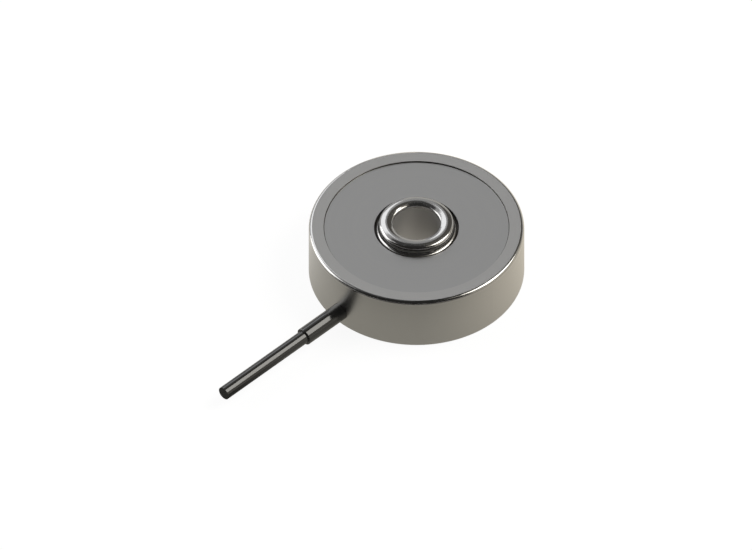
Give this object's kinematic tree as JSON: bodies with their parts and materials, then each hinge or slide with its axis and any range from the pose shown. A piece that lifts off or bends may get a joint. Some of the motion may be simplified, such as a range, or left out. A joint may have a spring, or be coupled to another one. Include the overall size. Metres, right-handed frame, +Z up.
{
  "type": "force sensor",
  "caption": "Low ring-shaped force sensor with a through bore, a raised rounded load crown on a stiff steel ring, and a short cable leaving its side.",
  "frame": {"origin": "centre of the base plane on the axis of the bore", "axes": "+Z up the bore towards the load crown; the cable leaves along -Y; +X completes a right-handed frame"},
  "size_m": [0.05, 0.0882, 0.0157],
  "materials": {
    "body_steel": "satin",
    "cover_steel": "satin",
    "silicone": "matte",
    "board_laminate": "satin",
    "cable_jacket": "gloss",
    "sleeve_plastic": "gloss",
    "potting_resin": "gloss",
    "tinned_braid": "satin",
    "ferrule_brass": "satin",
    "gauge_film": "satin",
    "lead_enamel": "satin",
    "resistor_ceramic": "satin",
    "core_red": "satin",
    "core_black": "satin",
    "core_green": "satin",
    "core_white": "satin"
  },
  "bodies": {
    "root": {"base_cover": "cover_steel", "base_seal": "silicone", "bottom_gauge_1_lead_a": "lead_enamel", "bottom_gauge_1_lead_b": "lead_enamel", "bottom_gauge_2_lead_a": "lead_enamel", "bottom_gauge_2_lead_b": "lead_enamel", "bottom_gauge_3_lead_a": "lead_enamel", "bottom_gauge_3_lead_b": "lead_enamel", "bottom_gauge_4_lead_a": "lead_enamel", "bottom_gauge_4_lead_b": "lead_enamel", "cable": "cable_jacket", "cable_sleeve": "sleeve_plastic", "core_wire_1": "core_red", "core_wire_2": "core_black", "core_wire_3": "core_green", "core_wire_4": "core_white", "crimp_ferrule": "ferrule_brass", "entry_potting": "potting_resin", "measuring_body": "body_steel", "shield_braid": "tinned_braid", "strain_gauge_bottom_1": "gauge_film", "strain_gauge_bottom_2": "gauge_film", "strain_gauge_bottom_3": "gauge_film", "strain_gauge_bottom_4": "gauge_film", "strain_gauge_top_1": "gauge_film", "strain_gauge_top_2": "gauge_film", "strain_gauge_top_3": "gauge_film", "strain_gauge_top_4": "gauge_film", "terminal_board": "board_laminate", "top_cover": "cover_steel", "top_gauge_1_lead_a": "lead_enamel", "top_gauge_1_lead_b": "lead_enamel", "top_gauge_2_lead_a": "lead_enamel", "top_gauge_2_lead_b": "lead_enamel", "top_gauge_3_lead_a": "lead_enamel", "top_gauge_3_lead_b": "lead_enamel", "top_gauge_4_lead_a": "lead_enamel", "top_gauge_4_lead_b": "lead_enamel", "top_seal": "silicone", "trim_resistor_1": "resistor_ceramic", "trim_resistor_2": "resistor_ceramic", "trim_resistor_3": "resistor_ceramic", "trim_resistor_4": "resistor_ceramic", "trim_resistor_5": "resistor_ceramic", "trim_resistor_6": "resistor_ceramic"}
  },
  "joints": []
}
